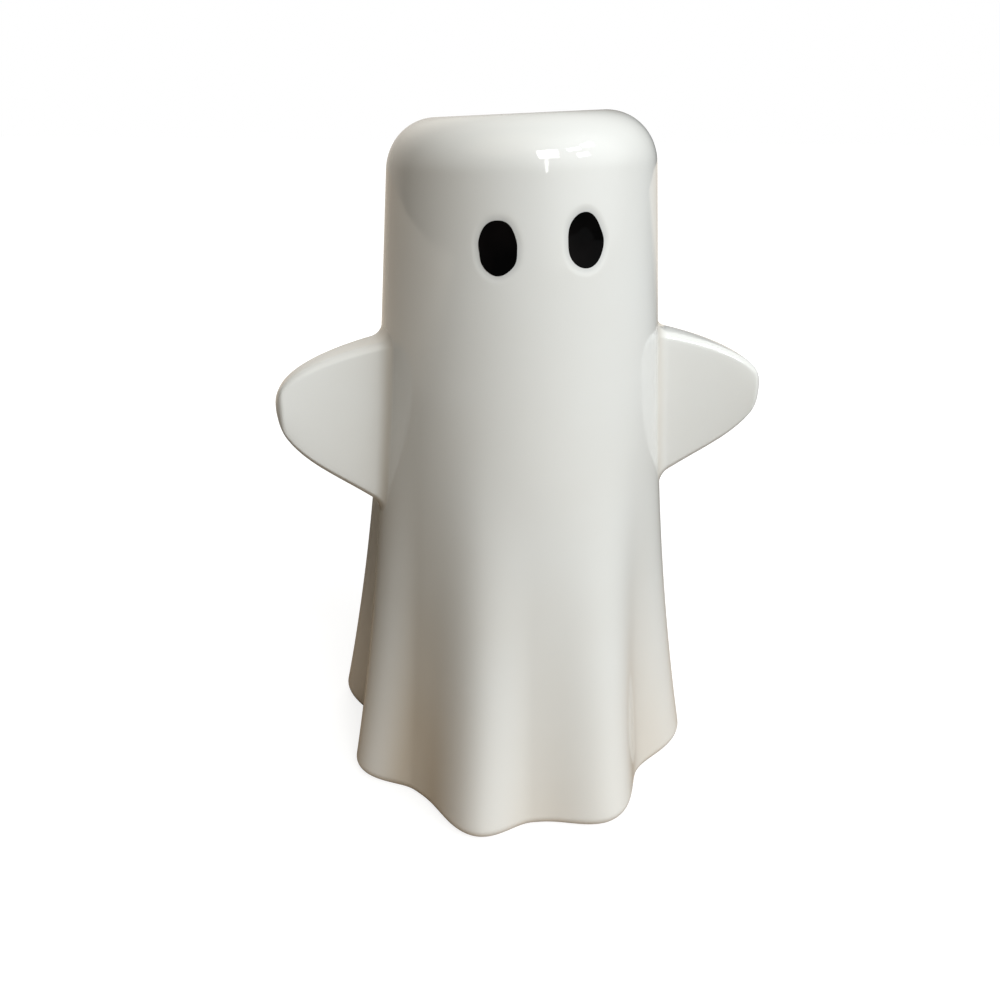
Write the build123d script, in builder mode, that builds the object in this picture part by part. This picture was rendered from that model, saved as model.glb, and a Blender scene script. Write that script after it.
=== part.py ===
"""Slip-cast ceramic ghost: a hollow robe with a folded skirt, two luted arms and two glazed eyes.

The robe stands on the XY plane with its axis on Z. The face looks along -Y, and the figure's
right-hand side in the picture is +X. All sizes are in millimetres.
"""
import os
from math import atan2, cos, pi, radians, sin

from build123d import *

os.makedirs("parts", exist_ok=True)

# Robe: a cone from the head to the base, with a flare that grows towards the hem
HEIGHT = 175.0
HEAD_RADIUS = 31.9
BASE_RADIUS = 44.3
HEM_FLARE = 5.2
FLARE_TOP = 96.0

# Head top: edge rounding, and the slant of the hand-finished top, which rises towards +X
TOP_ROUND = 12.5
TOP_SLANT = 3.2

# Skirt folds once round from the front, alternately valley and ridge: angle from the front towards
# +X, how far each stands out of the plain form at the hem, and the height at which it has faded out
FOLD_ANGLES = (-2.0, 23.2, 48.4, 79.2, 102.0, 119.5, 148.0, 180.0, 212.0, 240.5, 266.0, 287.8, 310.5, 339.6)
FOLD_DEPTHS = (-5.4, 1.0, -7.2, 0.9, -4.5, 9.4, 0.5, 6.0, 0.5, 8.7, -7.5, 0.8, -6.9, 0.7)
FOLD_TOPS = (95.0, 100.0, 115.0, 115.0, 95.0, 197.0, 140.0, 130.0, 140.0, 197.0, 105.0, 115.0, 115.0, 100.0)
FOLD_GROWTH = 1.3
SECTION_STEPS = 8
HEM_ROUND = 3.0

# Casting: wall, floor and the kiln vent in the base
WALL = 4.5
FLOOR = 5.0
VENT_DIAMETER = 3.5
VENT_OFFSET = 14.0

# Arms: flat fins in one upright plane, a little in front of the axis; the lengths run from the
# robe's side, the drops from the head's top down to each tip, and the spreads are the shares of the
# outline's height above and below the tip
ARM_PLANE = -6.0
ARM_SINK = 7.0
ARM_TOP = 17.2
ARM_BOTTOM = 32.2
SHOULDER_SLOPE = 0.2
ARMPIT_SLOPE = 0.7
TIP_ROUND = 4.5
TIP_RISE = 7.6
TIP_FALL = 11.2
ARM_ROOT_THICKNESS = 13.0
ARM_TIP_THICKNESS = 9.5
ARM_EDGE_ROUND = 4.2
LEFT_ARM_LENGTH = 25.7
LEFT_ARM_DROP = 68.1
LEFT_UPPER_SPREAD = 0.97
LEFT_LOWER_SPREAD = 1.0
RIGHT_ARM_LENGTH = 26.2
RIGHT_ARM_DROP = 66.4
RIGHT_UPPER_SPREAD = 1.0
RIGHT_LOWER_SPREAD = 0.92

# Eyes: oval hollows with a pool of black glaze in each; the drops run from the head's top
EYE_WIDTH = 8.6
EYE_HEIGHT = 12.2
EYE_ANGLE = 16.9
LEFT_EYE_DROP = 27.3
RIGHT_EYE_DROP = 25.9
EYE_DEPTH = 1.6
EYE_FILL = 0.9
EYE_LIP = 0.5
EYE_EDGE = 0.4
EYE_HAIRLINE = 0.05

FULL_TURN = 360.0
HEAD_PLANE = Plane.XY.offset(HEIGHT).rotated((0, -TOP_SLANT, 0))
HEAD_LEAN = atan2(BASE_RADIUS - HEAD_RADIUS, HEIGHT)


def plain_radius(height):
    """Radius of the robe without folds: the cone and, below its top, the parabolic flare."""
    cone = BASE_RADIUS + (HEAD_RADIUS - BASE_RADIUS) * height / HEIGHT
    return cone + HEM_FLARE * max(0.0, 1.0 - height / FLARE_TOP) ** 2


def fold_depth(depth, top, height):
    """How far a fold stands out of the plain form at a height."""
    return depth * max(0.0, 1.0 - height / top) ** FOLD_GROWTH


def fold_ring(height):
    """Angle and depth of each fold and of the slope between folds, once round the robe."""
    turns = [
        (angle, fold_depth(depth, top, height))
        for angle, depth, top in zip(FOLD_ANGLES, FOLD_DEPTHS, FOLD_TOPS)
    ]
    turns.append((turns[0][0] + FULL_TURN, turns[0][1]))
    ring = []
    for (angle, depth), (next_angle, next_depth) in zip(turns, turns[1:]):
        ring.append((angle, depth))
        ring.append(((angle + next_angle) / 2, (depth + next_depth) / 2))
    return ring


def robe_section(plane, height, inset):
    """Closed section of the robe on its plane, one smooth curve with the angle as its parameter."""
    plain = plain_radius(height) - inset
    points = []
    angles = []
    for angle, depth in fold_ring(height):
        turn = radians(angle)
        points.append(Vector((plain + depth) * sin(turn), -(plain + depth) * cos(turn)))
        angles.append(turn)
    with BuildSketch(plane) as section:
        with BuildLine():
            closing = angles[0] + radians(FULL_TURN)
            add(Edge.make_spline(points, parameters=[*angles, closing], periodic=True))
        make_face()
    return section.sketch


def robe_sections(lowest, inset):
    """Sections from the lowest level up to the slanted top, moved inwards by the inset.

    They stand closer together towards both ends, which keeps the surface between them calm.
    """
    rise = HEIGHT - inset - lowest
    shares = [(1.0 - cos(pi * step / SECTION_STEPS)) / 2 for step in range(SECTION_STEPS)]
    levels = [lowest + rise * share for share in shares]
    upright = [robe_section(Plane.XY.offset(level), level, inset) for level in levels]
    return [*upright, robe_section(HEAD_PLANE.offset(-inset), HEIGHT - inset, inset)]


# Outer form of the robe, solid
with BuildPart() as robe_form:
    loft(robe_sections(0.0, 0.0))
    fillet(robe_form.faces().sort_by(Axis.Z)[-1].edges(), radius=TOP_ROUND)
    fillet(robe_form.faces().sort_by(Axis.Z)[0].edges(), radius=HEM_ROUND)

# Hollow left by the poured slip
with BuildPart() as hollow_form:
    loft(robe_sections(FLOOR, WALL))
    fillet(hollow_form.faces().sort_by(Axis.Z)[-1].edges(), radius=TOP_ROUND - WALL)


def eye_plane(angle, level):
    """Plane that touches the robe at an eye's middle, its normal pointing out of the face."""
    turn = radians(angle)
    radius = plain_radius(level)
    middle = (radius * sin(turn), -radius * cos(turn), level)
    outwards = (sin(turn) * cos(HEAD_LEAN), -cos(turn) * cos(HEAD_LEAN), sin(HEAD_LEAN))
    return Plane(origin=middle, x_dir=(cos(turn), sin(turn), 0.0), z_dir=outwards)


EYES = {
    "left_eye": eye_plane(-EYE_ANGLE, HEIGHT - LEFT_EYE_DROP),
    "right_eye": eye_plane(EYE_ANGLE, HEIGHT - RIGHT_EYE_DROP),
}

# Cast shell: the form less its hollow, with an oval hollow for each eye and the vent in the base
with BuildPart() as body_shell:
    add(robe_form.part)
    add(hollow_form.part, mode=Mode.SUBTRACT)
    for plane in EYES.values():
        with BuildSketch(plane.offset(-EYE_DEPTH)):
            Ellipse(EYE_WIDTH / 2, EYE_HEIGHT / 2)
        extrude(amount=2 * EYE_DEPTH, mode=Mode.SUBTRACT)
        mouth = body_shell.edges(Select.LAST).sort_by(Axis.Y)[0]
        fillet(mouth, radius=EYE_LIP)
    with Locations((0.0, VENT_OFFSET, FLOOR)):
        Hole(VENT_DIAMETER / 2, FLOOR)
body_shell.part.label = "body_shell"
export_step(body_shell.part, "parts/body_shell.step")

# Eyes: each pool of glaze lies on the floor of its hollow, a hairline clear of the wall
for name, plane in EYES.items():
    with BuildPart() as eye:
        with BuildSketch(plane.offset(-EYE_DEPTH)):
            Ellipse(EYE_WIDTH / 2 - EYE_HAIRLINE, EYE_HEIGHT / 2 - EYE_HAIRLINE)
        extrude(amount=EYE_FILL)
        fillet(eye.faces().sort_by(Axis.Y)[0].edges(), radius=EYE_EDGE)
    eye.part.label = name
    export_step(eye.part, f"parts/{name}.step")

# Arms: a leaf-shaped outline of tapering thickness, cut to sit on the robe
ARMS = {
    "left_arm": (-1, LEFT_ARM_LENGTH, HEIGHT - LEFT_ARM_DROP, LEFT_UPPER_SPREAD, LEFT_LOWER_SPREAD),
    "right_arm": (1, RIGHT_ARM_LENGTH, HEIGHT - RIGHT_ARM_DROP, RIGHT_UPPER_SPREAD, RIGHT_LOWER_SPREAD),
}
for name, (side, length, height, upper, lower) in ARMS.items():
    arm_root = plain_radius(height) - ARM_SINK
    arm_reach = plain_radius(height) + length
    shoulder = (side * arm_root, height + upper * ARM_TOP)
    tip = (side * arm_reach, height)
    above_tip = (side * (arm_reach - TIP_ROUND), height + upper * TIP_RISE)
    below_tip = (side * (arm_reach - TIP_ROUND), height - lower * TIP_FALL)
    armpit = (side * arm_root, height - lower * ARM_BOTTOM)
    with BuildPart() as arm:
        with BuildSketch(Plane.XZ.offset(-ARM_PLANE)):
            with BuildLine():
                Spline(shoulder, above_tip, tip, tangents=[(side, -SHOULDER_SLOPE), (0, -1)])
                Spline(tip, below_tip, armpit, tangents=[(0, -1), (-side, -ARMPIT_SLOPE)])
                Line(armpit, shoulder)
            make_face()
        extrude(amount=ARM_ROOT_THICKNESS / 2, both=True)
        with BuildSketch(Plane.XY):
            with BuildLine():
                Polyline(
                    (side * arm_root, ARM_PLANE - ARM_ROOT_THICKNESS / 2),
                    (side * arm_reach, ARM_PLANE - ARM_TIP_THICKNESS / 2),
                    (side * arm_reach, ARM_PLANE + ARM_TIP_THICKNESS / 2),
                    (side * arm_root, ARM_PLANE + ARM_ROOT_THICKNESS / 2),
                    close=True,
                )
            make_face()
        extrude(amount=HEIGHT, mode=Mode.INTERSECT)
        faces = arm.faces().sort_by(Axis.Y)
        rims = [edge for face in (faces[0], faces[-1]) for edge in face.edges()]
        free_rims = [rim for rim in rims if abs(rim.center().X) > arm_root + ARM_EDGE_ROUND]
        fillet(free_rims, radius=ARM_EDGE_ROUND)
        add(robe_form.part, mode=Mode.SUBTRACT)
    arm.part.label = name
    export_step(arm.part, f"parts/{name}.step")
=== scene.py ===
"""Ceramic ghost figure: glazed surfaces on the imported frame, a plain studio and the photograph's camera.

The robe, arms and eyes are worked out as smooth surfaces in the frame of the solids: +Z up along the
robe, the face towards -Y, metres in the meshes and millimetres in the sizes.
"""

import logging
import math
from dataclasses import dataclass
from enum import Enum

import bpy
import numpy as np
from mathutils import Matrix, Vector


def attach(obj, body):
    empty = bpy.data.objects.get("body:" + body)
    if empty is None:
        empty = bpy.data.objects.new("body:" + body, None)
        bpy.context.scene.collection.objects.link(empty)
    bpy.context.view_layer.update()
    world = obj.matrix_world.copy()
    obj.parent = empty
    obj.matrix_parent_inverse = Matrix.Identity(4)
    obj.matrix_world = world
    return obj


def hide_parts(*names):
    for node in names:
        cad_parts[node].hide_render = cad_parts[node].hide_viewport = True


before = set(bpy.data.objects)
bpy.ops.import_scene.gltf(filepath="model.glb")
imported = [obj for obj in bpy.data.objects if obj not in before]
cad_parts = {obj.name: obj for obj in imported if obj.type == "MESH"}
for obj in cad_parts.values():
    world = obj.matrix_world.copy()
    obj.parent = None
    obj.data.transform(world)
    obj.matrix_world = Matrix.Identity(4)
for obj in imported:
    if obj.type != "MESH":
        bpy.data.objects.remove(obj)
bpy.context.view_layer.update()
MILLIMETRE = 0.001
log = logging.getLogger("ghost")

Colour = tuple[float, float, float]
Direction = tuple[float, float, float]
Point = tuple[float, float, float]
Span = tuple[float, float, float, float]
WHITE: Colour = (1.0, 1.0, 1.0)

# Colour sockets of a Mix node, which share their names with its number sockets
MIX_LOW = 6
MIX_HIGH = 7
MIX_RESULT = 2

# Drops of the eyes' middles and the arms' tips below the head's top
LEFT_EYE_DROP = 27.5
RIGHT_EYE_DROP = 25.9
LEFT_ARM_DROP = 67.3
RIGHT_ARM_DROP = 65.8


class Side(Enum):
    """Which side of the face a piece is on, as the sign of its X."""

    LEFT = -1
    RIGHT = 1

    def named(self, piece: str) -> str:
        """Name of a piece on this side, such as left_arm."""
        return f"{self.name.lower()}_{piece}"


class Mask(Enum):
    """Names of the surface masks that the finishes read from a mesh."""

    # Ivory of glaze that pools, with painted shade in the valleys, on the left and at the arms' joints, and a
    # painted warm tint of floor bounce at the hem
    POOLING_AND_SHADE = "glaze_pooling_and_shade"
    BARE = "bare_clay"
    # Grey of black spread into the white, with painted shade at the lip of each eye's hollow
    BLEED = "eye_bleed_and_shade"


def smooth_step(low: float, high: float, value: np.ndarray) -> np.ndarray:
    """Rises smoothly from 0 at low to 1 at high.

    Args:
        low: Value at which the step starts.
        high: Value at which the step has ended.
        value: Values to map.

    Returns:
        The step at each value, 3 t squared less 2 t cubed.
    """
    t = np.clip((value - low) / (high - low), 0.0, 1.0)
    return t * t * (3.0 - 2.0 * t)


def closed_grid(name: str, rings: np.ndarray, masks: dict[Mask, np.ndarray]) -> bpy.types.Object:
    """Makes a closed mesh from rings of points, each end drawn together in a pole.

    Args:
        name: Name of the object and its mesh.
        rings: Points in millimetres, one ring a row, once round in the columns, the rings running
            so that the outside lies to the left of the way round seen along the rows.
        masks: A value for each point of the rings, for each mask.

    Returns:
        The object, linked to the scene, with smooth shading.
    """
    rows, columns = rings.shape[:2]
    poles = np.stack([rings[0].mean(axis=0), rings[-1].mean(axis=0)])
    points = np.concatenate([rings.reshape(-1, 3), poles]) * MILLIMETRE
    index = np.arange(rows * columns).reshape(rows, columns)
    onward = np.roll(index, -1, axis=1)
    quads = np.stack([index[:-1], index[1:], onward[1:], onward[:-1]], axis=-1).reshape(-1, 4)
    first = np.stack([np.full(columns, rows * columns), index[0], onward[0]], axis=-1)
    last = np.stack([np.full(columns, rows * columns + 1), onward[-1], index[-1]], axis=-1)
    corners = np.concatenate([quads.ravel(), first.ravel(), last.ravel()]).astype(np.int32)
    sizes = np.concatenate([np.full(len(quads), 4), np.full(2 * columns, 3)]).astype(np.int32)
    starts = np.concatenate([[0], np.cumsum(sizes)[:-1]]).astype(np.int32)
    mesh = bpy.data.meshes.new(name)
    mesh.vertices.add(len(points))
    mesh.vertices.foreach_set("co", points.ravel())
    mesh.loops.add(len(corners))
    mesh.loops.foreach_set("vertex_index", corners)
    mesh.polygons.add(len(sizes))
    mesh.polygons.foreach_set("loop_start", starts)
    mesh.polygons.foreach_set("use_smooth", np.ones(len(sizes), dtype=bool))
    mesh.update(calc_edges=True)
    for mask, values in masks.items():
        ends = [values[0].mean(), values[-1].mean()]
        layer = mesh.attributes.new(mask.value, "FLOAT", "POINT")
        layer.data.foreach_set("value", np.concatenate([values.ravel(), ends]).astype(np.float32))
    mesh.validate()
    piece = bpy.data.objects.new(name, mesh)
    bpy.context.scene.collection.objects.link(piece)
    return piece


def seat(piece: bpy.types.Object, node: str, finish: bpy.types.Material) -> None:
    """Dresses a piece and lets it stand for its solid.

    Args:
        piece: The new surface.
        node: Name of the solid that it replaces.
        finish: Material of the piece.
    """
    piece.data.materials.append(finish)
    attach(piece, "root")
    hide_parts(node)
    log.info("%s: %d points", piece.name, len(piece.data.vertices))


@dataclass(frozen=True)
class Robe:
    """Hollow robe: a cone that flares into folds at the hem, with a flat, rounded and slanted top."""

    # Outer form, the lean of its hem taken over a short height, and how far the skin lies inside it
    height: float = 175.0
    head_radius: float = 31.9
    base_radius: float = 44.3
    hem_flare: float = 5.2
    flare_top: float = 96.0
    top_round: float = 12.5
    top_slant: float = 3.2
    hem_round: float = 3.0
    hem_probe: float = 10.0
    skin_ease: float = 0.16

    # Hollow and kiln vent
    wall: float = 4.5
    floor: float = 5.0
    vent_radius: float = 1.75
    vent_offset: float = 14.0
    vent_edge: float = 0.4

    # Folds once round from the front, alternately valley and ridge: angle towards +X, how far each
    # stands out at the hem, the height at which it has faded out, and its skew
    fold_growth: float = 1.3
    fold_angles: tuple[float, ...] = (
        -2.0, 23.2, 48.4, 79.2, 102.0, 119.5, 148.0, 180.0, 212.0, 240.5, 266.0, 287.8, 310.5, 339.6,
    )
    fold_depths: tuple[float, ...] = (
        -5.4, 1.0, -7.2, 0.9, -4.5, 9.4, 0.5, 6.0, 0.5, 8.7, -7.5, 0.8, -6.9, 0.7,
    )
    fold_tops: tuple[float, ...] = (
        95.0, 100.0, 115.0, 115.0, 95.0, 197.0, 140.0, 130.0, 140.0, 197.0, 105.0, 115.0, 115.0, 100.0,
    )
    fold_skews: tuple[float, ...] = (
        1.2, 1.0, 1.0, 1.0, 1.0, 1.0, 1.0, 1.0, 1.0, 1.0, 1.0, 1.0, 1.25, 1.0,
    )

    # Ivory, glaze that pools and painted shade: the depths of fold over which it grows, its share at the
    # front and right, the painted shade that the left has more of, the angles in radians between them, and
    # the height and share of a painted warm tint of floor bounce at the hem
    pool_and_shade_depths: tuple[float, float] = (0.5, 6.5)
    pool_and_shade_share: float = 0.35
    left_painted_shade: float = 0.7
    left_painted_shade_turn: tuple[float, float] = (-0.3, -0.7)
    hem_bounce_tint_height: float = 16.0
    hem_bounce_tint_share: float = 0.03

    # Heights between which the white glaze gives way to the bare foot
    foot_edge: tuple[float, float] = (0.75, 0.25)

    # Grid: the levels and shares at which its spacing changes, the numbers of rings, and the columns
    # as spans of angle, each with its number
    eye_band: tuple[float, float] = (158.0, 137.0)
    skirt_level: float = 30.0
    flat_shares: tuple[float, float] = (0.08, 0.96)
    flat_count: int = 9
    bend_count: int = 27
    neck_count: int = 7
    eye_count: int = 62
    drape_count: int = 64
    skirt_count: int = 20
    hem_count: int = 16
    base_count: int = 9
    vent_count: int = 5
    ground_count: int = 6
    lining_count: int = 26
    lining_step: int = 3
    column_spans: tuple[tuple[float, float, int], ...] = (
        (-180.0, -30.0, 125), (-30.0, -5.0, 58), (-5.0, 5.0, 10), (5.0, 30.0, 58), (30.0, 180.0, 125),
    )

    @property
    def lean(self) -> float:
        """Lean of the head's wall out of the upright, in radians."""
        return math.atan2(self.base_radius - self.head_radius, self.height)

    def plain_radius(self, z: np.ndarray | float) -> np.ndarray:
        """Radius without folds: a straight cone plus, low down, a parabola in the height.

        Args:
            z: Heights.

        Returns:
            Radii at those heights.
        """
        cone = self.base_radius + (self.head_radius - self.base_radius) * z / self.height
        return cone + self.hem_flare * np.clip(1.0 - z / self.flare_top, 0.0, None) ** 2

    def fold_depth(self, theta: np.ndarray, z: np.ndarray) -> np.ndarray:
        """How far the folds stand out of the plain form.

        Each valley or ridge grows as a power of its distance below the height where it starts, and
        half a cosine wave joins it to the next one round the robe. Where the skew is above 1, the wave
        is drawn towards the next one, which then has the steeper flank.

        Args:
            theta: Angles from the front towards +X, in radians.
            z: Heights, in the same shape.

        Returns:
            Depths, outwards positive.
        """
        angles = np.radians(np.array([*self.fold_angles, self.fold_angles[0] + 360.0]))
        depths = np.array([*self.fold_depths, self.fold_depths[0]])
        tops = np.array([*self.fold_tops, self.fold_tops[0]])
        turn = angles[0] + np.mod(theta - angles[0], 2.0 * np.pi)
        low = np.clip(np.searchsorted(angles, turn, side="right") - 1, 0, len(depths) - 2)
        skew = np.array(self.fold_skews)[low]
        share = ((turn - angles[low]) / (angles[low + 1] - angles[low])) ** skew
        ease = (1.0 - np.cos(np.pi * share)) / 2.0
        here = depths[low] * np.clip(1.0 - z / tops[low], 0.0, None) ** self.fold_growth
        onward = depths[low + 1] * np.clip(1.0 - z / tops[low + 1], 0.0, None) ** self.fold_growth
        return here + (onward - here) * ease

    def wall_radius(self, theta: np.ndarray, z: np.ndarray) -> np.ndarray:
        """Radius of the outer wall with its folds, a hair inside the solid.

        Args:
            theta: Angles from the front.
            z: Heights, in the same shape.

        Returns:
            Radii.
        """
        return self.plain_radius(z) + self.fold_depth(theta, z) - self.skin_ease

    def place(self, theta: np.ndarray, radius: np.ndarray, z: np.ndarray) -> np.ndarray:
        """Turns angle, radius and height into points.

        Args:
            theta: Angles from the front.
            radius: Radii.
            z: Heights.

        Returns:
            Points, with the three coordinates in the last axis.
        """
        return np.stack([radius * np.sin(theta), -radius * np.cos(theta), z], axis=-1)

    def angles_round(self) -> np.ndarray:
        """Angles of the columns, closer together across the eyes."""
        spans = [np.linspace(start, end, count, endpoint=False) for start, end, count in self.column_spans]
        return np.radians(np.concatenate(spans))

    def crown(self, theta: np.ndarray, inset: float) -> tuple[np.ndarray, np.ndarray]:
        """Rings of the head's top, from near its middle to where its rounding meets the wall.

        In each upright half plane the slanted top and the leaning wall are two straight lines, and the
        rounding is the circle that touches both; its middle follows from its distance to each line.

        Args:
            theta: Angles of the columns.
            inset: How far the skin lies inside the outer one.

        Returns:
            Radii and heights, one ring a row.
        """
        slope = math.tan(math.radians(self.top_slant)) * np.sin(theta)
        stretch = np.sqrt(1.0 + slope ** 2)
        turn = self.top_round - inset
        drop = (inset + self.skin_ease) / math.cos(math.radians(self.top_slant))
        edge = self.wall_radius(theta, np.full_like(theta, self.height - self.top_round)) - inset
        edge = edge - self.top_round * math.tan(self.lean)
        reach = edge + math.tan(self.lean) * (drop + turn * stretch) - turn / math.cos(self.lean)
        middle_r = reach / (1.0 + math.tan(self.lean) * slope)
        middle_z = self.height - drop + middle_r * slope - turn * stretch
        start = math.pi / 2.0 + np.arctan(slope)
        angle = start + (self.lean - start) * np.linspace(0.0, 1.0, self.bend_count)[:, None]
        bend_r = middle_r + turn * np.cos(angle)
        bend_z = middle_z + turn * np.sin(angle)
        flat_r = np.linspace(*self.flat_shares, self.flat_count)[:, None] * bend_r[0]
        flat_z = self.height - drop + flat_r * slope
        return np.concatenate([flat_r, bend_r]), np.concatenate([flat_z, bend_z])

    def outer_rings(self, theta: np.ndarray, eyes: list["EyePool"]) -> tuple[np.ndarray, np.ndarray]:
        """Rings of the outside from the middle of the top down to the edge of the base.

        The crown runs into the wall, which follows the cone and folds less the hollows of the eyes,
        and the hem turns under in a quarter circle.

        Args:
            theta: Angles of the columns.
            eyes: Pools whose hollows are pressed into the wall.

        Returns:
            Radii and heights, one ring a row.
        """
        ones = np.ones_like(theta)
        top_r, top_z = self.crown(theta, 0.0)
        hem_spread = self.plain_radius(0.0) - self.plain_radius(self.hem_probe)
        hem_lean = math.atan2(hem_spread, self.hem_probe)
        low = self.hem_round * (1.0 + math.sin(hem_lean))
        band_top, band_bottom = self.eye_band
        neck = np.linspace(0.0, 1.0, self.neck_count)[1:-1, None]
        below = top_z[-1] + (band_top - top_z[-1]) * neck
        levels = np.concatenate([
            np.linspace(band_top, band_bottom, self.eye_count),
            np.linspace(band_bottom, self.skirt_level, self.drape_count)[1:],
            np.linspace(self.skirt_level, low, self.skirt_count)[1:],
        ])[:, None]
        wall_z = np.concatenate([below, levels * ones])
        wall_r = self.wall_radius(theta * np.ones_like(wall_z), wall_z)
        for eye in eyes:
            wall_r = wall_r - eye.hollow(theta, wall_z, self)
        under = np.linspace(hem_lean, -math.pi / 2.0, self.hem_count)[1:, None]
        hem_middle = wall_r[-1] - self.hem_round * math.cos(hem_lean)
        hem_r = hem_middle + self.hem_round * np.cos(under)
        hem_z = self.hem_round + self.hem_round * np.sin(under) * ones
        return np.concatenate([top_r, wall_r, hem_r]), np.concatenate([top_z, wall_z, hem_z])

    def inner_rings(self, theta: np.ndarray) -> tuple[np.ndarray, np.ndarray]:
        """Rings of the hollow from its floor up to the middle of its top, the outside moved in by the wall.

        Args:
            theta: Angles of the columns.

        Returns:
            Radii and heights, one ring a row.
        """
        top_r, top_z = self.crown(theta, self.wall)
        shares = np.linspace(0.0, 1.0, self.lining_count)[:-1, None]
        wall_z = self.floor + (top_z[-1] - self.floor) * shares
        wall_r = self.wall_radius(theta * np.ones_like(wall_z), wall_z) - self.wall
        upwards = slice(None, None, -self.lining_step)
        return np.concatenate([wall_r, top_r[upwards]]), np.concatenate([wall_z, top_z[upwards]])

    def vent_ring(self, theta: np.ndarray, z: float) -> np.ndarray:
        """Ring of the kiln vent at one height.

        Args:
            theta: Angles of the columns.
            z: Height.

        Returns:
            Points of a circle behind the axis.
        """
        x = self.vent_radius * np.sin(theta)
        y = self.vent_offset - self.vent_radius * np.cos(theta)
        return np.stack([x, y, np.full_like(theta, z)], axis=-1)

    def pooled_glaze_and_shade(self, theta: np.ndarray, z: np.ndarray) -> np.ndarray:
        """Share of ivory in the valleys: glaze that pools there, and painted shade.

        It is a smooth step in the depth of the fold, weighted towards the left as painted shade, plus a
        little at the hem as a painted warm tint of floor bounce.

        Args:
            theta: Angles of the columns.
            z: Heights, one ring a row.

        Returns:
            Shares at the points.
        """
        depth = self.fold_depth(theta * np.ones_like(z), z)
        # Painted shade: more ivory towards the unlit left
        pool_and_shade_weight = self.pool_and_shade_share + self.left_painted_shade * smooth_step(*self.left_painted_shade_turn, theta)
        # Painted warm tint of floor bounce at the hem
        hem = smooth_step(self.hem_bounce_tint_height, 0.0, z) * self.hem_bounce_tint_share
        return smooth_step(*self.pool_and_shade_depths, -depth) * pool_and_shade_weight + hem

    def build(self, eyes: list["EyePool"]) -> bpy.types.Object:
        """Makes the shell as one skin: down the outside, under the base, through the vent and up the inside.

        Args:
            eyes: Pools whose hollows are pressed into the wall.

        Returns:
            The shell's object.
        """
        theta = self.angles_round()
        out_r, out_z = self.outer_rings(theta, eyes)
        in_r, in_z = self.inner_rings(theta)
        outside = self.place(theta * np.ones_like(out_r), out_r, out_z)
        inside = self.place(theta * np.ones_like(in_r), in_r, in_z)
        foot = self.vent_ring(theta, 0.0)
        inwards = np.linspace(0.0, 1.0, self.base_count)[1:, None, None]
        base = outside[-1] + (foot - outside[-1]) * inwards
        vent_levels = np.linspace(self.vent_edge, self.floor, self.vent_count)
        tube = np.stack([self.vent_ring(theta, z) for z in vent_levels])
        outwards = np.linspace(0.0, 1.0, self.ground_count)[1:-1, None, None]
        ground = tube[-1] + (inside[0] - tube[-1]) * outwards
        rings = np.concatenate([outside, base, tube, ground, inside])
        pooling_and_shade = np.zeros(rings.shape[:2])
        bleed = np.zeros(rings.shape[:2])
        bare = np.ones(rings.shape[:2])
        rows = len(outside)
        # Ivory: glaze that pools, with painted shade in the valleys and on the left, and a painted warm tint
        # at the hem
        pooling_and_shade[:rows] = self.pooled_glaze_and_shade(theta, out_z)
        bare[:rows] = smooth_step(*self.foot_edge, out_z)
        # Grey round the eyes: black spread into the white, and painted shade at the hollows' lips
        for eye in eyes:
            bleed[:rows] += eye.bleed(theta, out_z, self)
        masks = {Mask.POOLING_AND_SHADE: pooling_and_shade, Mask.BARE: bare, Mask.BLEED: bleed}
        return closed_grid("body_shell_surface", rings, masks)

    def dress(self, eyes: list["EyePool"], finish: bpy.types.Material) -> None:
        """Makes the shell and seats it in its glaze.

        Args:
            eyes: Pools whose hollows are pressed into the wall.
            finish: The white glaze.
        """
        seat(self.build(eyes), "body_shell", finish)


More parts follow.
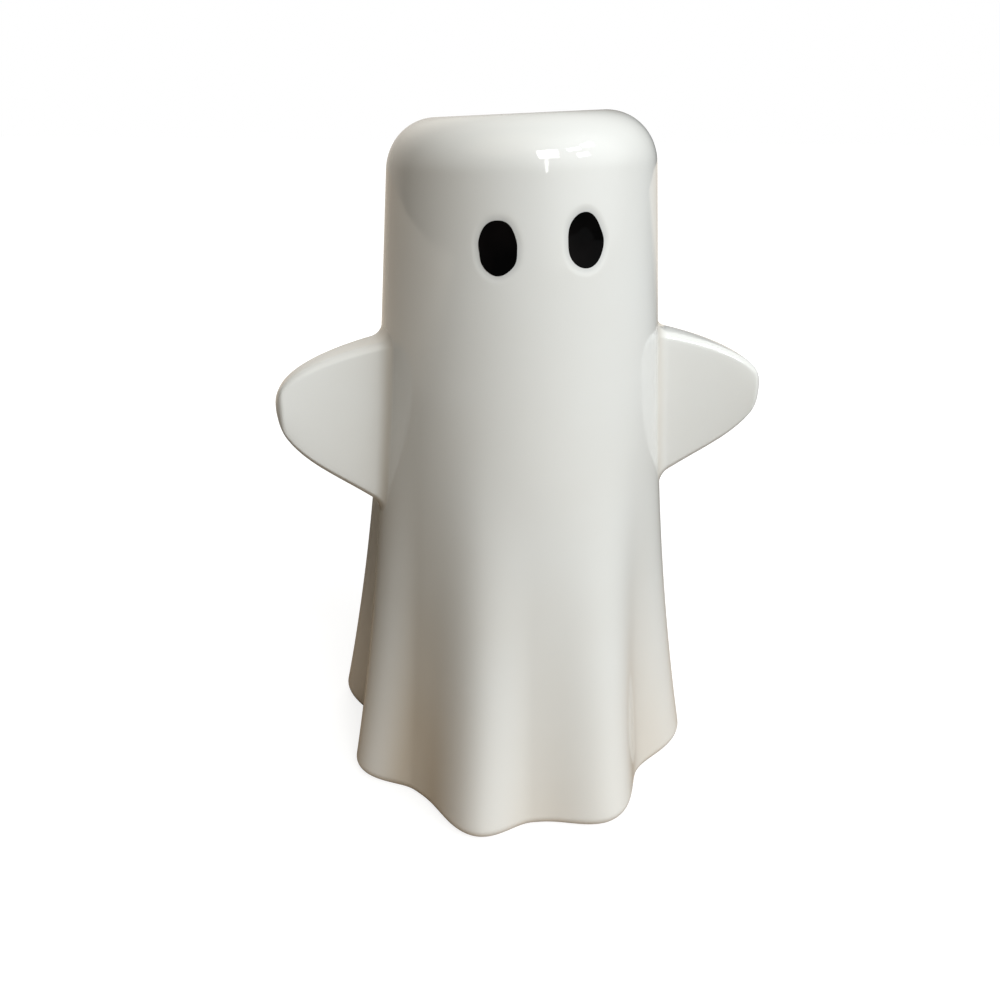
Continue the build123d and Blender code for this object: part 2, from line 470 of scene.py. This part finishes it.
@dataclass(frozen=True)
class EyePool:
    """Oval pool of black glaze in a shallow hollow, its outline uneven as a brush leaves it."""

    # Place and outline; each wave of the outline, measured on the photo, has its number round the
    # eye, its share of the size and its start
    side: Side
    level: float
    angle: float
    half_width: float
    waves: tuple[tuple[int, float, float], ...]
    half_height: float = 5.9

    # Hollow and pool
    hollow_depth: float = 1.5
    lip: float = 1.8
    rim_depth: float = 0.13
    rim_proud: float = 0.04
    dish: float = 0.3
    dish_power: int = 4
    body: float = 0.4

    # Distances from the outline over which the hollow's wall falls and the grey of spread black and painted
    # shade fades
    wall_step: tuple[float, float] = (-1.0, -0.1)
    bleed_reach: tuple[float, float] = (-0.2, 1.6)

    # Rings as shares of the outline, the front's in two spans with their numbers, and the depths of
    # the back's rings as multiples of the body
    middle_rings: tuple[float, float, int] = (0.05, 0.8, 12)
    rim_rings: tuple[float, float, int] = (0.84, 1.0, 9)
    back_rings: tuple[float, ...] = (1.004, 1.0, 0.9, 0.5, 0.06)
    back_depths: tuple[float, ...] = (0.2, 0.45, 2.2, 2.3, 2.3)
    columns: int = 120

    def outline(self, phi: np.ndarray) -> np.ndarray:
        """Distance of the outline from the eye's middle: an ellipse with a few slow waves on it.

        Args:
            phi: Angles round the eye from its right-hand side.

        Returns:
            Distances along the face.
        """
        oval = 1.0 / np.sqrt((np.cos(phi) / self.half_width) ** 2 + (np.sin(phi) / self.half_height) ** 2)
        wave = sum(size * np.cos(count * phi - start) for count, size, start in self.waves)
        return oval * (1.0 + wave)

    def rim_distance(self, theta: np.ndarray, z: np.ndarray, robe: Robe) -> np.ndarray:
        """Distance of points on the wall from the pool's outline, inside negative.

        Args:
            theta: Angles of the points.
            z: Heights of the points.
            robe: The robe that the eye is in.

        Returns:
            Distances along the face.
        """
        across = (theta - math.radians(self.angle)) * robe.plain_radius(self.level)
        up = (z - self.level) / math.cos(robe.lean)
        phi = np.arctan2(up, across)
        return np.hypot(across, up) - self.outline(phi)

    def hollow(self, theta: np.ndarray, z: np.ndarray, robe: Robe) -> np.ndarray:
        """Depth of the hollow pressed into the wall: a soft lip down to the rim, then a step to its floor.

        Args:
            theta: Angles of the points.
            z: Heights of the points.
            robe: The robe that the eye is in.

        Returns:
            Depths.
        """
        away = self.rim_distance(theta, z, robe)
        lip = self.rim_depth * (1.0 - smooth_step(0.0, self.lip, away))
        return lip + (self.hollow_depth - self.rim_depth) * (1.0 - smooth_step(*self.wall_step, away))

    def bleed(self, theta: np.ndarray, z: np.ndarray, robe: Robe) -> np.ndarray:
        """Share of grey beside the pool: black spread into the white glaze, and painted shade at the hollow's
        lip.

        Args:
            theta: Angles of the points.
            z: Heights of the points.
            robe: The robe that the eye is in.

        Returns:
            Shares that fall off smoothly from the outline.
        """
        return 1.0 - smooth_step(*self.bleed_reach, self.rim_distance(theta, z, robe))

    def build(self, robe: Robe) -> bpy.types.Object:
        """Makes the pool: a dished front that rises to its rim, a short side and a plain back.

        The front lies under the wall by the rim's depth plus a dish that falls with the fourth power
        of the distance from the middle; the side and the back follow the wall, further inwards.

        Args:
            robe: The robe that the eye is in.

        Returns:
            The pool's object.
        """
        phi = np.linspace(0.0, 2.0 * np.pi, self.columns, endpoint=False)[None, :]
        front = np.concatenate([np.linspace(*self.middle_rings), np.linspace(*self.rim_rings)])
        shares = np.concatenate([front, self.back_rings])[:, None]
        rim = self.rim_depth - self.rim_proud
        depth = rim + self.dish * (1.0 - np.clip(shares, 0.0, 1.0) ** self.dish_power)
        depth[len(front):, 0] = rim + self.body * np.array(self.back_depths)
        reach = shares * self.outline(phi)
        radius_here = robe.plain_radius(self.level)
        theta = math.radians(self.angle) + reach * np.cos(phi) / radius_here
        z = self.level + reach * np.sin(phi) * math.cos(robe.lean)
        rings = robe.place(theta, robe.wall_radius(theta, z) - depth, z)
        return closed_grid(self.side.named("eye_surface"), rings[:, ::-1], {})

    def dress(self, robe: Robe, finish: bpy.types.Material) -> None:
        """Makes the pool and seats it in its glaze.

        Args:
            robe: The robe that the eye is in.
            finish: The black glaze.
        """
        seat(self.build(robe), self.side.named("eye"), finish)


@dataclass(frozen=True)
class Arm:
    """Solid fin luted to the robe's side: a leaf-shaped outline, flat faces, round rims and a slip fillet."""

    # Place and size; rise and fall are shares of the outline's height above and below the tip
    side: Side
    level: float
    length: float
    rise: float
    fall: float
    sink: float = 7.0
    plane: float = -6.0
    top: float = 16.7
    bottom: float = 32.2
    root_half: float = 6.5
    tip_half: float = 4.75

    # Outline: powers of the upper edge, and the slope and powers of the lower one
    shoulder_power: float = 1.15
    shoulder_round: float = 0.43
    armpit_slope: float = 0.68
    armpit_power: int = 8
    armpit_round: float = 0.45

    # Roundings, the forward bend and the swell of the faces
    tip_round: float = 2.2
    rim_round: float = 2.7
    rim_limit: float = 0.98
    slip_fillet: float = 2.4
    tip_lead: float = 4.2
    lead_power: float = 1.25
    face_crown: float = 0.2
    turn_share: float = 0.42

    # Grid: distances of the rings under the wall, numbers of rings and columns, the last gap to the
    # tip as a share, and the rounds that find the wall
    sunk: tuple[float, ...] = (-0.9, -0.45, -0.15)
    fillet_count: int = 15
    fin_count: int = 44
    last_gap: float = 0.02
    columns: int = 160
    wall_rounds: int = 3

    def distances(self) -> np.ndarray:
        """Distances of the rings out of the robe's side, closer together at the robe and at the tip.

        Returns:
            One distance a row: squares of even steps in the fillet, then 1 less such squares.
        """
        near = self.slip_fillet * np.linspace(0.0, 1.0, self.fillet_count)[:-1] ** 2
        fin = 1.0 - np.linspace(1.0, self.last_gap, self.fin_count) ** 2
        far = self.slip_fillet + (self.length - self.slip_fillet) * fin
        return np.concatenate([self.sunk, near, far])[:, None]

    def edges(self, share: np.ndarray) -> tuple[np.ndarray, np.ndarray]:
        """Heights of the outline above and below the tip's level.

        The upper edge is a power of 1 less a power of the share, and the lower edge a falling line
        times a power of 1 less a high power of the share.

        Args:
            share: Shares of the way from inside the robe to the tip.

        Returns:
            The upper and the lower height at each share.
        """
        upper = self.rise * self.top * (1.0 - share ** self.shoulder_power) ** self.shoulder_round
        slope = self.fall * self.bottom * (1.0 - self.armpit_slope * share)
        lower = slope * (1.0 - share ** self.armpit_power) ** self.armpit_round
        return upper, lower

    def fillet_growth(self, out: np.ndarray) -> np.ndarray:
        """How far the slip fillet has grown a section: a quarter circle, and straight on under the wall.

        Args:
            out: Distances out of the robe's side.

        Returns:
            The growth at each distance.
        """
        gap = np.clip(self.slip_fillet - np.clip(out, 0.0, None), 0.0, None)
        return self.slip_fillet - np.sqrt(self.slip_fillet ** 2 - gap ** 2) + np.clip(-out, 0.0, None)

    def wall_distance(self, y: np.ndarray, z: np.ndarray, robe: Robe) -> np.ndarray:
        """Distance of the robe's wall from the middle plane of the figure.

        The wall's radius hangs on the angle and the angle on the radius, so each is put into the
        other a few times over.

        Args:
            y: Places of the points from front to back.
            z: Heights of the points.
            robe: The robe that the arm is on.

        Returns:
            The wall's distance sideways at each point.
        """
        theta = np.arccos(-y / float(robe.plain_radius(self.level)))
        for _ in range(self.wall_rounds):
            wall = robe.wall_radius(self.side.value * theta, z)
            theta = np.arccos(np.clip(-y / wall, -1.0, 1.0))
        return np.sqrt(wall ** 2 - y ** 2)

    def build(self, robe: Robe) -> bpy.types.Object:
        """Makes the fin as sections along its length, from the robe's side to the tip.

        A section is a box with round rims: a circle of the rim's radius plus a flat stretch each way,
        which a clipped sine runs along. Near the robe each section grows by the slip fillet, and its
        first rings lie just under the robe's wall. Towards the tip the thickness ends in an ellipse,
        and the fin bends a little forward, by a power of the distance out.

        Args:
            robe: The robe that the arm is on.

        Returns:
            The fin's object.
        """
        out = self.distances()
        share = np.clip((out + self.sink) / (self.length + self.sink), 0.0, 1.0)
        upper, lower = self.edges(share)
        tip = np.clip((out - self.length + self.tip_round) / self.tip_round, 0.0, 1.0)
        half = (self.root_half + (self.tip_half - self.root_half) * share) * np.sqrt(1.0 - tip ** 2)
        fillet = self.fillet_growth(out)
        tall = (upper + lower) / 2.0
        rim = np.minimum(self.rim_round, self.rim_limit * np.minimum(half, tall))
        psi = np.linspace(0.0, 2.0 * np.pi, self.columns, endpoint=False)[None, :]
        upright = np.sin(np.pi / 2.0 * np.clip(np.sin(psi) / self.turn_share, -1.0, 1.0))
        across = np.sin(np.pi / 2.0 * np.clip(np.cos(psi) / self.turn_share, -1.0, 1.0))
        z = self.level + (upper - lower) / 2.0 + (tall - rim) * upright + (rim + fillet) * np.sin(psi)
        lead = self.tip_lead * np.clip(out / self.length, 0.0, 1.0) ** self.lead_power
        crown = self.face_crown * across * (1.0 - upright ** 2) * (1.0 - tip)
        y = self.plane - lead + (half - rim) * across + (rim + fillet) * np.cos(psi) + crown
        start = float(robe.plain_radius(self.level))
        on_wall = self.wall_distance(y, z, robe)
        x = start + out + (on_wall - start) * np.clip(1.0 - out / self.length, 0.0, 1.0) ** 2
        rings = np.stack([self.side.value * x, y, z], axis=-1)
        if self.side is Side.LEFT:
            rings = rings[:, ::-1]
        # Ivory at the slip fillet: glaze that pools in the joint, and painted shade between arm and robe
        grown = np.clip(fillet / self.slip_fillet, 0.0, 1.0) * np.ones_like(psi)
        masks = {
            Mask.POOLING_AND_SHADE: 2.0 * grown * (1.0 - grown),
            Mask.BARE: np.zeros_like(grown),
            Mask.BLEED: np.zeros_like(grown),
        }
        return closed_grid(self.side.named("arm_surface"), rings, masks)

    def dress(self, robe: Robe, finish: bpy.types.Material) -> None:
        """Makes the fin and seats it in its glaze.

        Args:
            robe: The robe that the arm is on.
            finish: The white glaze.
        """
        seat(self.build(robe), self.side.named("arm"), finish)


def mixed_colour(
    tree: bpy.types.NodeTree,
    low: Colour | bpy.types.NodeSocket,
    high: Colour,
    share: bpy.types.NodeSocket,
) -> bpy.types.NodeSocket:
    """Adds a colour mix.

    Args:
        tree: Node tree of the material or world.
        low: Colour or colour socket at share 0.
        high: Colour at share 1.
        share: Socket of the share.

    Returns:
        The mixed colour's socket.
    """
    mix = tree.nodes.new("ShaderNodeMix")
    mix.data_type = "RGBA"
    if isinstance(low, bpy.types.NodeSocket):
        tree.links.new(low, mix.inputs[MIX_LOW])
    else:
        mix.inputs[MIX_LOW].default_value = (*low, 1.0)
    mix.inputs[MIX_HIGH].default_value = (*high, 1.0)
    tree.links.new(share, mix.inputs["Factor"])
    return mix.outputs[MIX_RESULT]


def ranged(tree: bpy.types.NodeTree, value: bpy.types.NodeSocket, span: Span) -> bpy.types.NodeSocket:
    """Maps a value from one range to another and clamps it.

    Args:
        tree: Node tree of the material.
        value: Socket of the value.
        span: Lowest and highest value in, and lowest and highest value out.

    Returns:
        The mapped value's socket.
    """
    node = tree.nodes.new("ShaderNodeMapRange")
    for name, number in zip(("From Min", "From Max", "To Min", "To Max"), span):
        node.inputs[name].default_value = number
    tree.links.new(value, node.inputs["Value"])
    return node.outputs["Result"]


@dataclass(frozen=True)
class GlazeFilm:
    """Shared look of a fired glaze: slow ripples, and a drift of tone that is slower still."""

    ripple_detail: float = 1.0
    ripple_roughness: float = 0.4
    drift_detail: float = 3.0
    drift_share: float = 0.4

    def build(self) -> bpy.types.NodeTree:
        """Makes the node group.

        Returns:
            A group with a ripple height and a drift value, both from Object coordinates.
        """
        group = bpy.data.node_groups.new("glaze_film", "ShaderNodeTree")
        group.interface.new_socket("Scale", in_out="INPUT", socket_type="NodeSocketFloat")
        group.interface.new_socket("Ripple", in_out="OUTPUT", socket_type="NodeSocketFloat")
        group.interface.new_socket("Drift", in_out="OUTPUT", socket_type="NodeSocketFloat")
        nodes, links = group.nodes, group.links
        inputs = nodes.new("NodeGroupInput")
        outputs = nodes.new("NodeGroupOutput")
        place = nodes.new("ShaderNodeTexCoord")
        ripple = nodes.new("ShaderNodeTexNoise")
        ripple.inputs["Detail"].default_value = self.ripple_detail
        ripple.inputs["Roughness"].default_value = self.ripple_roughness
        drift = nodes.new("ShaderNodeTexNoise")
        drift.inputs["Detail"].default_value = self.drift_detail
        slower = nodes.new("ShaderNodeMath")
        slower.operation = "MULTIPLY"
        slower.inputs[1].default_value = self.drift_share
        links.new(inputs.outputs["Scale"], slower.inputs[0])
        links.new(place.outputs["Object"], ripple.inputs["Vector"])
        links.new(place.outputs["Object"], drift.inputs["Vector"])
        links.new(inputs.outputs["Scale"], ripple.inputs["Scale"])
        links.new(slower.outputs["Value"], drift.inputs["Scale"])
        links.new(ripple.outputs["Fac"], outputs.inputs["Ripple"])
        links.new(drift.outputs["Fac"], outputs.inputs["Drift"])
        return group


def rippled_material(
    name: str, film: bpy.types.NodeTree, scale: float, ripple: tuple[float, float],
) -> tuple[bpy.types.Material, bpy.types.NodeSocket]:
    """Starts a glaze: a material with the shared film, whose ripples bend the light.

    Args:
        name: Name of the material.
        film: The shared glaze film group.
        scale: Scale of the film.
        ripple: Strength of the ripples and their height in metres.

    Returns:
        The material, and the socket of the film's drift of tone.
    """
    material = bpy.data.materials.new(name)
    material.use_nodes = True
    tree = material.node_tree
    coat = tree.nodes.new("ShaderNodeGroup")
    coat.node_tree = film
    coat.inputs["Scale"].default_value = scale
    bump = tree.nodes.new("ShaderNodeBump")
    for socket, number in zip(("Strength", "Distance"), ripple):
        bump.inputs[socket].default_value = number
    tree.links.new(coat.outputs["Ripple"], bump.inputs["Height"])
    tree.links.new(bump.outputs["Normal"], tree.nodes["Principled BSDF"].inputs["Normal"])
    return material, coat.outputs["Drift"]


@dataclass(frozen=True)
class WhiteGlaze:
    """Clear gloss glaze over a white casting, ivory where it pools and as painted shade, grey round the eyes
    as spread black and painted shade, bare and matt under the foot.
    """

    white: Colour = (0.80, 0.795, 0.775)
    # Ivory of glaze that pools and of its drift of tone, also laid on as painted shade and a painted warm
    # tint at the hem
    ivory: Colour = (0.66, 0.605, 0.525)
    clay: Colour = (0.70, 0.66, 0.59)
    # Grey of black spread into the white, and painted shade round the eyes
    bled_and_shaded: Colour = (0.34, 0.345, 0.36)
    ior: float = 1.52
    matt: float = 0.82
    film_scale: float = 85.0
    ripple: tuple[float, float] = (0.25, 0.00012)
    drift_to_ivory: Span = (0.35, 0.75, 0.0, 0.12)
    drift_to_gloss: Span = (0.3, 0.7, 0.03, 0.07)
    bleed_to_black: Span = (0.0, 1.0, 0.0, 0.35)

    def build(self, film: bpy.types.NodeTree) -> bpy.types.Material:
        """Makes the material.

        Args:
            film: The shared glaze film group.

        Returns:
            The material.
        """
        material, drift = rippled_material("white_glaze", film, self.film_scale, self.ripple)
        tree = material.node_tree
        shader = tree.nodes["Principled BSDF"]
        shader.inputs["IOR"].default_value = self.ior
        masks = {}
        for mask in Mask:
            node = tree.nodes.new("ShaderNodeAttribute")
            node.attribute_name = mask.value
            masks[mask] = node.outputs["Fac"]
        # Share of ivory: glaze that pools and drift of tone, with painted shade and a painted warm tint at
        # the hem
        ivory_share = tree.nodes.new("ShaderNodeMath")
        ivory_share.operation = "ADD"
        ivory_share.use_clamp = True
        tree.links.new(masks[Mask.POOLING_AND_SHADE], ivory_share.inputs[0])
        tree.links.new(ranged(tree, drift, self.drift_to_ivory), ivory_share.inputs[1])
        glaze = mixed_colour(tree, self.white, self.ivory, ivory_share.outputs["Value"])
        # Grey round the eyes: black spread into the white, and painted shade at the hollows' lips
        with_bleed_and_shade = mixed_colour(tree, glaze, self.bled_and_shaded, ranged(tree, masks[Mask.BLEED], self.bleed_to_black))
        colour = mixed_colour(tree, with_bleed_and_shade, self.clay, masks[Mask.BARE])
        tree.links.new(colour, shader.inputs["Base Color"])
        rough = tree.nodes.new("ShaderNodeMix")
        tree.links.new(masks[Mask.BARE], rough.inputs["Factor"])
        tree.links.new(ranged(tree, drift, self.drift_to_gloss), rough.inputs["A"])
        rough.inputs["B"].default_value = self.matt
        tree.links.new(rough.outputs["Result"], shader.inputs["Roughness"])
        return material


@dataclass(frozen=True)
class BlackGlaze:
    """Thick black gloss glaze of the eyes, with a faint brown cast where it is thin."""

    black: Colour = (0.002, 0.002, 0.002)
    thin: Colour = (0.005, 0.004, 0.004)
    ior: float = 1.3
    specular: float = 0.07
    film_scale: float = 240.0
    ripple: tuple[float, float] = (0.3, 0.0001)
    drift_to_thin: Span = (0.4, 0.75, 0.0, 1.0)
    drift_to_gloss: Span = (0.3, 0.7, 0.03, 0.08)

    def build(self, film: bpy.types.NodeTree) -> bpy.types.Material:
        """Makes the material.

        Args:
            film: The shared glaze film group.

        Returns:
            The material.
        """
        material, drift = rippled_material("black_glaze", film, self.film_scale, self.ripple)
        tree = material.node_tree
        shader = tree.nodes["Principled BSDF"]
        shader.inputs["IOR"].default_value = self.ior
        shader.inputs["Specular IOR Level"].default_value = self.specular
        colour = mixed_colour(tree, self.black, self.thin, ranged(tree, drift, self.drift_to_thin))
        tree.links.new(colour, shader.inputs["Base Color"])
        tree.links.new(ranged(tree, drift, self.drift_to_gloss), shader.inputs["Roughness"])
        return material


@dataclass(frozen=True)
class WindowPane:
    """Rectangular lamp, one pane of a window or the fill behind, given as it is seen from the head."""

    azimuth: float
    elevation: float
    width: float
    height: float
    radiance: float
    tint: Colour = WHITE
    mirrored: bool = True
    distance: float = 0.9
    aim: Point = (0.0, -0.03, 0.167)

    def build(self, name: str) -> None:
        """Makes the lamp, turned to the head, with its sizes worked out from the angles it fills.

        Args:
            name: Name of the lamp.
        """
        lamp = bpy.data.lights.new(name, "AREA")
        lamp.shape = "RECTANGLE"
        lamp.size = 2.0 * self.distance * math.tan(math.radians(self.width) / 2.0)
        lamp.size_y = 2.0 * self.distance * math.tan(math.radians(self.height) / 2.0)
        lamp.energy = self.radiance * math.pi * lamp.size * lamp.size_y
        lamp.color = self.tint
        a, e = math.radians(self.azimuth), math.radians(self.elevation)
        away = Vector((math.sin(a) * math.cos(e), -math.cos(a) * math.cos(e), math.sin(e)))
        placed = bpy.data.objects.new(name, lamp)
        placed.location = Vector(self.aim) + away * self.distance
        placed.visible_glossy = self.mirrored
        placed.rotation_mode = "QUATERNION"
        placed.rotation_quaternion = away.to_track_quat("Z", "Y")
        bpy.context.scene.collection.objects.link(placed)


@dataclass(frozen=True)
class RoomGlow:
    """Soft light from one side of the room, full in its direction and gone where its cone ends."""

    direction: Direction
    colour: Colour
    gone: float
    full: float = 1.0

    def add(
        self, tree: bpy.types.NodeTree, place: bpy.types.NodeSocket, room: bpy.types.NodeSocket,
    ) -> bpy.types.NodeSocket:
        """Adds the glow to the room's colour: a smooth step in the cosine from its direction.

        Args:
            tree: Node tree of the world.
            place: Socket of the direction looked in.
            room: Socket of the room's colour so far.

        Returns:
            Socket of the room's colour with the glow.
        """
        towards = tree.nodes.new("ShaderNodeVectorMath")
        towards.operation = "DOT_PRODUCT"
        towards.inputs[1].default_value = Vector(self.direction).normalized()
        tree.links.new(place, towards.inputs[0])
        share = tree.nodes.new("ShaderNodeMapRange")
        share.interpolation_type = "SMOOTHSTEP"
        share.inputs["From Min"].default_value = self.gone
        share.inputs["From Max"].default_value = self.full
        tree.links.new(towards.outputs["Value"], share.inputs["Value"])
        lit = tree.nodes.new("ShaderNodeMix")
        lit.data_type = "RGBA"
        lit.blend_type = "ADD"
        lit.inputs[MIX_HIGH].default_value = (*self.colour, 1.0)
        tree.links.new(share.outputs["Result"], lit.inputs["Factor"])
        tree.links.new(room, lit.inputs[MIX_LOW])
        return lit.outputs[MIX_RESULT]


# Tints of the window's panes
WARM: Colour = (1.0, 1.01, 0.97)
COOL: Colour = (0.92, 1.01, 1.08)


@dataclass(frozen=True)
class Studio:
    """Plain pale floor, a dim room with soft glows, the panes of a window and a fill behind the figure."""

    # Floor in metres: its colour to the camera, and to other rays near the figure and further out
    floor_reach: float = 8.0
    floor_roughness: float = 0.9
    floor_seen: Colour = (0.30, 0.30, 0.30)
    floor_near: Colour = (0.36, 0.27, 0.185)
    floor_far: Colour = (0.12, 0.10, 0.075)
    near_reach: tuple[float, float] = (0.07, 0.16)

    # Glow of the floor: white to the camera, rising with distance, and to other rays at its far end
    floor_glow: float = 0.82
    white_reach: tuple[float, float] = (0.16, 0.60)
    far_end: Direction = (-0.5, 0.87, 0.0)
    far_end_reach: tuple[float, float] = (0.2, 0.5)
    far_end_glow: float = 0.6
    far_end_colour: Colour = (1.04, 0.93, 0.79)

    # Room: behind on the left, the side of the window, over the front and over the back
    dim: Colour = (0.004, 0.004, 0.004)
    glows: tuple[RoomGlow, ...] = (
        RoomGlow(direction=(-0.35, 0.93, 0.1), colour=(0.68, 0.63, 0.56), gone=0.7),
        RoomGlow(direction=(0.62, -0.62, 0.48), colour=(1.30, 1.35, 1.37), gone=0.6),
        RoomGlow(direction=(-0.25, -0.42, 0.87), colour=(0.60, 0.53, 0.42), gone=0.82),
        RoomGlow(direction=(-0.22, 0.60, 0.77), colour=(0.30, 0.27, 0.23), gone=0.75),
    )

    # Panes of the window, and last the fill behind, which is left out of reflections
    panes: tuple[WindowPane, ...] = (
        WindowPane(azimuth=14.0, elevation=38.0, width=15.5, height=16.0, radiance=16.5, tint=WARM),
        WindowPane(azimuth=42.0, elevation=42.5, width=11.0, height=5.0, radiance=19.4, tint=COOL),
        WindowPane(azimuth=61.0, elevation=45.0, width=10.0, height=6.0, radiance=19.4, tint=COOL),
        WindowPane(azimuth=47.0, elevation=31.0, width=10.0, height=7.0, radiance=19.4, tint=COOL),
        WindowPane(azimuth=11.0, elevation=17.0, width=2.4, height=22.0, radiance=10.0, tint=WARM),
        WindowPane(azimuth=169.0, elevation=38.0, width=40.0, height=28.0, radiance=3.6, mirrored=False),
    )

    def build_floor(self) -> None:
        """Makes the floor, white to the camera outside the shadow."""
        reach = self.floor_reach
        mesh = bpy.data.meshes.new("floor")
        corners = [(-reach, -reach, 0.0), (reach, -reach, 0.0), (reach, reach, 0.0), (-reach, reach, 0.0)]
        mesh.from_pydata(corners, [], [(0, 1, 2, 3)])
        floor = bpy.data.objects.new("floor", mesh)
        bpy.context.scene.collection.objects.link(floor)
        material = bpy.data.materials.new("pale_floor")
        material.use_nodes = True
        tree = material.node_tree
        shader = tree.nodes["Principled BSDF"]
        shader.inputs["Roughness"].default_value = self.floor_roughness
        shader.inputs["Specular IOR Level"].default_value = 0.0
        to_camera = tree.nodes.new("ShaderNodeLightPath").outputs["Is Camera Ray"]
        spot = tree.nodes.new("ShaderNodeTexCoord")
        away = tree.nodes.new("ShaderNodeVectorMath")
        away.operation = "LENGTH"
        tree.links.new(spot.outputs["Object"], away.inputs[0])
        beyond = tree.nodes.new("ShaderNodeVectorMath")
        beyond.operation = "DOT_PRODUCT"
        beyond.inputs[1].default_value = self.far_end
        tree.links.new(spot.outputs["Object"], beyond.inputs[0])
        shine = mixed_colour(tree, self.far_end_colour, WHITE, to_camera)
        tree.links.new(shine, shader.inputs["Emission Color"])
        seen = tree.nodes.new("ShaderNodeMix")
        far_light = ranged(tree, beyond.outputs["Value"], (*self.far_end_reach, 0.0, self.far_end_glow))
        white = ranged(tree, away.outputs["Value"], (*self.white_reach, self.floor_glow, 1.0))
        tree.links.new(to_camera, seen.inputs["Factor"])
        tree.links.new(far_light, seen.inputs["A"])
        tree.links.new(white, seen.inputs["B"])
        tree.links.new(seen.outputs["Result"], shader.inputs["Emission Strength"])
        outer = ranged(tree, away.outputs["Value"], (*self.near_reach, 0.0, 1.0))
        bounce = mixed_colour(tree, self.floor_near, self.floor_far, outer)
        colour = mixed_colour(tree, bounce, self.floor_seen, to_camera)
        tree.links.new(colour, shader.inputs["Base Color"])
        mesh.materials.append(material)

    def build_world(self) -> None:
        """Makes the room: white to the camera, else dim with the glows added to it."""
        world = bpy.data.worlds.new("soft_room")
        bpy.context.scene.world = world
        world.use_nodes = True
        tree = world.node_tree
        tree.nodes.clear()
        place = tree.nodes.new("ShaderNodeTexCoord").outputs["Generated"]
        dim = tree.nodes.new("ShaderNodeRGB")
        dim.outputs["Color"].default_value = (*self.dim, 1.0)
        room = dim.outputs["Color"]
        for glow in self.glows:
            room = glow.add(tree, place, room)
        path = tree.nodes.new("ShaderNodeLightPath")
        seen = mixed_colour(tree, room, WHITE, path.outputs["Is Camera Ray"])
        background = tree.nodes.new("ShaderNodeBackground")
        tree.links.new(seen, background.inputs["Color"])
        output = tree.nodes.new("ShaderNodeOutputWorld")
        tree.links.new(background.outputs["Background"], output.inputs["Surface"])

    def build(self) -> None:
        """Makes the floor, the room and the panes, and keeps colours as they are written."""
        self.build_floor()
        self.build_world()
        for number, pane in enumerate(self.panes):
            pane.build(f"window_pane_{number}")
        bpy.context.scene.view_settings.view_transform = "Standard"


@dataclass(frozen=True)
class PhotoCamera:
    """Camera of the photograph: near the figure, level with the head's top and a little to its left."""

    azimuth: float = -9.0
    distance: float = 225.0
    height: float = 173.0
    aim_height: float = 87.5
    roll: float = 0.75
    lens: float = 31.752
    sensor: float = 36.0
    shift: tuple[float, float] = (-0.0180, -0.0435)
    nearest: float = 5.0

    def build(self) -> None:
        """Makes the camera, aimed at the robe's axis and rolled about its view."""
        a, roll = math.radians(self.azimuth), math.radians(self.roll)
        eye = Vector((math.sin(a) * self.distance, -math.cos(a) * self.distance, self.height))
        ahead = (Vector((0.0, 0.0, self.aim_height)) - eye).normalized()
        right = ahead.cross(Vector((0.0, 0.0, 1.0))).normalized()
        up = right.cross(ahead)
        turned_right = right * math.cos(roll) + up * math.sin(roll)
        turned_up = up * math.cos(roll) - right * math.sin(roll)
        data = bpy.data.cameras.new("photo_camera")
        data.sensor_width = self.sensor
        data.lens = self.lens
        data.shift_x, data.shift_y = self.shift
        data.clip_start = self.nearest * MILLIMETRE
        camera = bpy.data.objects.new("photo_camera", data)
        turn = Matrix((turned_right, turned_up, -ahead)).transposed().to_4x4()
        camera.matrix_world = Matrix.Translation(eye * MILLIMETRE) @ turn
        bpy.context.scene.collection.objects.link(camera)
        bpy.context.scene.camera = camera


def main() -> None:
    """Builds the robe, eyes and arms in their glazes, and sets up the studio and camera."""
    logging.basicConfig(level=logging.INFO, format="%(name)s: %(message)s")
    film = GlazeFilm().build()
    white = WhiteGlaze().build(film)
    black = BlackGlaze().build(film)
    robe = Robe()
    eyes = [
        EyePool(
            side=Side.LEFT, level=robe.height - LEFT_EYE_DROP, angle=-17.5, half_width=4.3,
            waves=((1, 0.015, 1.06), (2, 0.022, -1.53), (4, 0.016, -2.57), (7, 0.010, 1.84)),
        ),
        EyePool(
            side=Side.RIGHT, level=robe.height - RIGHT_EYE_DROP, angle=16.2, half_width=4.45,
            waves=((1, 0.033, -2.87), (2, 0.029, -1.79), (3, 0.027, -0.52), (5, 0.011, 0.25)),
        ),
    ]
    arms = [
        Arm(side=Side.LEFT, level=robe.height - LEFT_ARM_DROP, length=24.9, rise=1.0, fall=1.0),
        Arm(side=Side.RIGHT, level=robe.height - RIGHT_ARM_DROP, length=25.1, rise=0.98, fall=0.9),
    ]
    robe.dress(eyes, white)
    for eye in eyes:
        eye.dress(robe, black)
    for arm in arms:
        arm.dress(robe, white)
    Studio().build()
    PhotoCamera().build()


if __name__ == "__main__":
    main()
